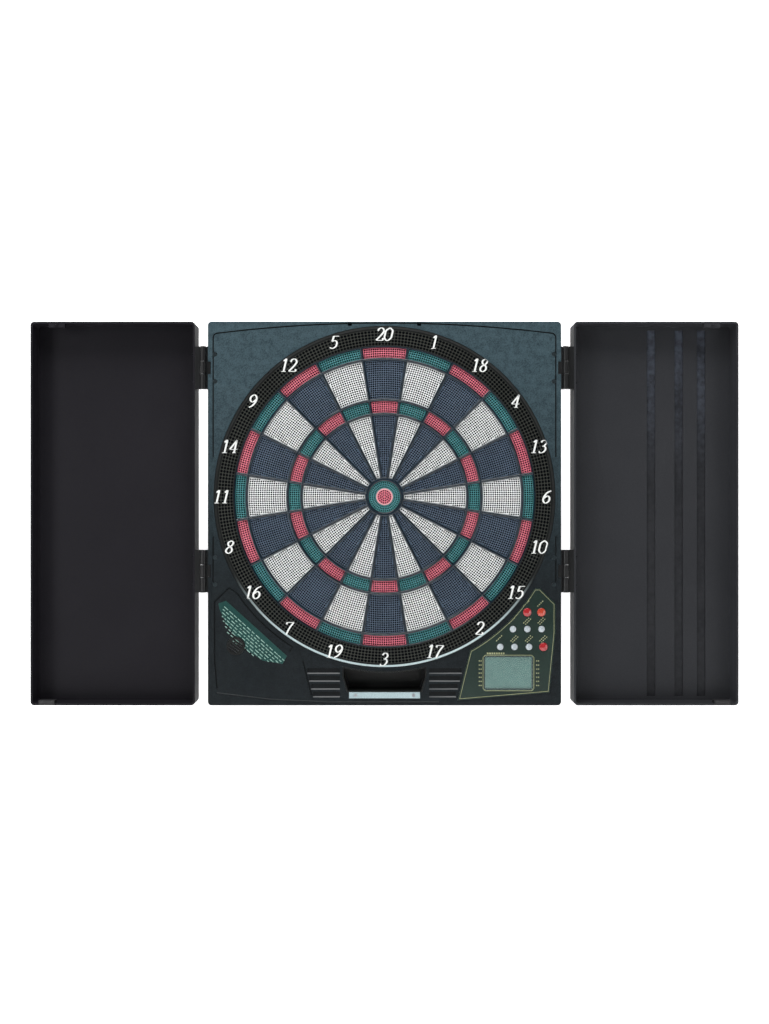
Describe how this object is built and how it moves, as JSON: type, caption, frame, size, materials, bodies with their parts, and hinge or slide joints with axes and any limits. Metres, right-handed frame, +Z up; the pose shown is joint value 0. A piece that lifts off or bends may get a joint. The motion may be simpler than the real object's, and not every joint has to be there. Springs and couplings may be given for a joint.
{
  "type": "dart board cabinet",
  "caption": "Wall-hung electronic dart board cabinet with perforated segments, a lower console with display and buttons, a dart tray and two folding doors.",
  "frame": {"origin": "on the wall plane, straight behind the bull's-eye", "axes": "+Z up, the board faces -Y, +X to the viewer's right"},
  "size_m": [0.93, 0.0501, 0.504],
  "materials": {
    "housing_plastic": "fine-textured",
    "rear_plastic": "fine-textured",
    "black_plastic": "satin",
    "web_plastic": "semi-gloss",
    "red_segment_plastic": "satin",
    "green_segment_plastic": "satin",
    "dark_segment_plastic": "satin",
    "white_segment_plastic": "satin",
    "foam": "open-cell foam",
    "membrane_film": "clear film with printed tracks",
    "pressed_board": "pressed fibre board",
    "plated_steel": "zinc-plated",
    "printed_panel": "printed, semi-gloss",
    "clear_window": "clear",
    "display_glass": "grey-green",
    "white_plastic": "plain",
    "circuit_board": "solder-masked",
    "grey_rubber": "matt",
    "red_button_plastic": "moulded",
    "white_button_plastic": "moulded",
    "speaker_metal": "pressed",
    "pale_plastic": "moulded",
    "battery_metal": "wrapped",
    "hinge_plastic": "satin",
    "door_plastic": "fine-textured",
    "magnet": "magnetic strip"
  },
  "bodies": {
    "cabinet": {"front_housing": "housing_plastic", "rear_cover": "rear_plastic", "battery_box": "rear_plastic", "number_ring": "black_plastic", "speaker_grille": "black_plastic", "dart_tray": "black_plastic", "spider_web": "web_plastic", "foam_pad": "foam", "upper_membrane": "membrane_film", "membrane_spacer": "membrane_film", "lower_membrane": "membrane_film", "ribbon_cable": "membrane_film", "pressure_board": "pressed_board", "board_screws": "plated_steel", "housing_screws": "plated_steel", "small_screws": "plated_steel", "cabinet_hinge_screws": "plated_steel", "battery_contacts": "plated_steel", "strike_plates": "plated_steel", "hinge_pins": "plated_steel", "console_panel": "printed_panel", "score_label": "printed_panel", "lcd_lens": "clear_window", "lcd_glass": "display_glass", "lcd_holder": "white_plastic", "main_board": "circuit_board", "keypad_membrane": "grey_rubber", "speaker": "speaker_metal", "tray_lip": "pale_plastic", "batteries": "battery_metal", "cabinet_hinge_leaves": "hinge_plastic"},
    "start_button_body": {"start_button": "red_button_plastic"},
    "power_button_body": {"power_button": "red_button_plastic"},
    "enter_button_body": {"enter_button": "red_button_plastic"},
    "select_button_body": {"select_button": "white_button_plastic"},
    "missed_button_body": {"missed_button": "white_button_plastic"},
    "score_button_body": {"score_button": "white_button_plastic"},
    "double_button_body": {"double_button": "white_button_plastic"},
    "player_button_body": {"player_button": "white_button_plastic"},
    "sound_button_body": {"sound_button": "white_button_plastic"},
    "double_red_segments_body": {"double_red_segments": "red_segment_plastic"},
    "double_green_segments_body": {"double_green_segments": "green_segment_plastic"},
    "treble_red_segments_body": {"treble_red_segments": "red_segment_plastic"},
    "treble_green_segments_body": {"treble_green_segments": "green_segment_plastic"},
    "outer_dark_segments_body": {"outer_dark_segments": "dark_segment_plastic"},
    "outer_white_segments_body": {"outer_white_segments": "white_segment_plastic"},
    "inner_dark_segments_body": {"inner_dark_segments": "dark_segment_plastic"},
    "inner_white_segments_body": {"inner_white_segments": "white_segment_plastic"},
    "outer_bull_body": {"outer_bull": "green_segment_plastic"},
    "inner_bull_body": {"inner_bull": "red_segment_plastic"},
    "battery_cover_body": {"battery_cover": "rear_plastic"},
    "left_door_body": {"left_door": "door_plastic", "left_door_hinge_leaves": "hinge_plastic", "left_door_screws": "plated_steel", "left_door_magnet": "magnet"},
    "right_door_body": {"right_door": "door_plastic", "right_door_hinge_leaves": "hinge_plastic", "right_door_screws": "plated_steel", "right_door_magnet": "magnet"}
  },
  "joints": [
    {"name": "start_button_press", "type": "slide", "parent": "cabinet", "child": "start_button_body", "axis": [0, 1, 0], "range_m": [0, 0.0015], "stiffness_N_per_m": 400},
    {"name": "power_button_press", "type": "slide", "parent": "cabinet", "child": "power_button_body", "axis": [0, 1, 0], "range_m": [0, 0.0015], "stiffness_N_per_m": 400},
    {"name": "enter_button_press", "type": "slide", "parent": "cabinet", "child": "enter_button_body", "axis": [0, 1, 0], "range_m": [0, 0.0015], "stiffness_N_per_m": 400},
    {"name": "select_button_press", "type": "slide", "parent": "cabinet", "child": "select_button_body", "axis": [0, 1, 0], "range_m": [0, 0.0015], "stiffness_N_per_m": 400},
    {"name": "missed_button_press", "type": "slide", "parent": "cabinet", "child": "missed_button_body", "axis": [0, 1, 0], "range_m": [0, 0.0015], "stiffness_N_per_m": 400},
    {"name": "score_button_press", "type": "slide", "parent": "cabinet", "child": "score_button_body", "axis": [0, 1, 0], "range_m": [0, 0.0015], "stiffness_N_per_m": 400},
    {"name": "double_button_press", "type": "slide", "parent": "cabinet", "child": "double_button_body", "axis": [0, 1, 0], "range_m": [0, 0.0015], "stiffness_N_per_m": 400},
    {"name": "player_button_press", "type": "slide", "parent": "cabinet", "child": "player_button_body", "axis": [0, 1, 0], "range_m": [0, 0.0015], "stiffness_N_per_m": 400},
    {"name": "sound_button_press", "type": "slide", "parent": "cabinet", "child": "sound_button_body", "axis": [0, 1, 0], "range_m": [0, 0.0015], "stiffness_N_per_m": 400},
    {"name": "double_red_segments_strike", "type": "slide", "parent": "cabinet", "child": "double_red_segments_body", "axis": [0, 1, 0], "range_m": [0, 0.0008], "stiffness_N_per_m": 4000},
    {"name": "double_green_segments_strike", "type": "slide", "parent": "cabinet", "child": "double_green_segments_body", "axis": [0, 1, 0], "range_m": [0, 0.0008], "stiffness_N_per_m": 4000},
    {"name": "treble_red_segments_strike", "type": "slide", "parent": "cabinet", "child": "treble_red_segments_body", "axis": [0, 1, 0], "range_m": [0, 0.0008], "stiffness_N_per_m": 4000},
    {"name": "treble_green_segments_strike", "type": "slide", "parent": "cabinet", "child": "treble_green_segments_body", "axis": [0, 1, 0], "range_m": [0, 0.0008], "stiffness_N_per_m": 4000},
    {"name": "outer_dark_segments_strike", "type": "slide", "parent": "cabinet", "child": "outer_dark_segments_body", "axis": [0, 1, 0], "range_m": [0, 0.0008], "stiffness_N_per_m": 4000},
    {"name": "outer_white_segments_strike", "type": "slide", "parent": "cabinet", "child": "outer_white_segments_body", "axis": [0, 1, 0], "range_m": [0, 0.0008], "stiffness_N_per_m": 4000},
    {"name": "inner_dark_segments_strike", "type": "slide", "parent": "cabinet", "child": "inner_dark_segments_body", "axis": [0, 1, 0], "range_m": [0, 0.0008], "stiffness_N_per_m": 4000},
    {"name": "inner_white_segments_strike", "type": "slide", "parent": "cabinet", "child": "inner_white_segments_body", "axis": [0, 1, 0], "range_m": [0, 0.0008], "stiffness_N_per_m": 4000},
    {"name": "outer_bull_strike", "type": "slide", "parent": "cabinet", "child": "outer_bull_body", "axis": [0, 1, 0], "range_m": [0, 0.0008], "stiffness_N_per_m": 4000},
    {"name": "inner_bull_strike", "type": "slide", "parent": "cabinet", "child": "inner_bull_body", "axis": [0, 1, 0], "range_m": [0, 0.0008], "stiffness_N_per_m": 4000},
    {"name": "battery_cover_lift", "type": "slide", "parent": "cabinet", "child": "battery_cover_body", "axis": [0, 1, 0], "range_m": [0, 0.012]},
    {"name": "left_door_hinge", "type": "hinge", "parent": "cabinet", "child": "left_door_body", "pos_m": [-0.238, -0.0465, 0], "axis": [0, 0, 1], "range_deg": [0, 180]},
    {"name": "right_door_hinge", "type": "hinge", "parent": "cabinet", "child": "right_door_body", "pos_m": [0.238, -0.0465, 0], "axis": [0, 0, -1], "range_deg": [0, 180]}
  ]
}
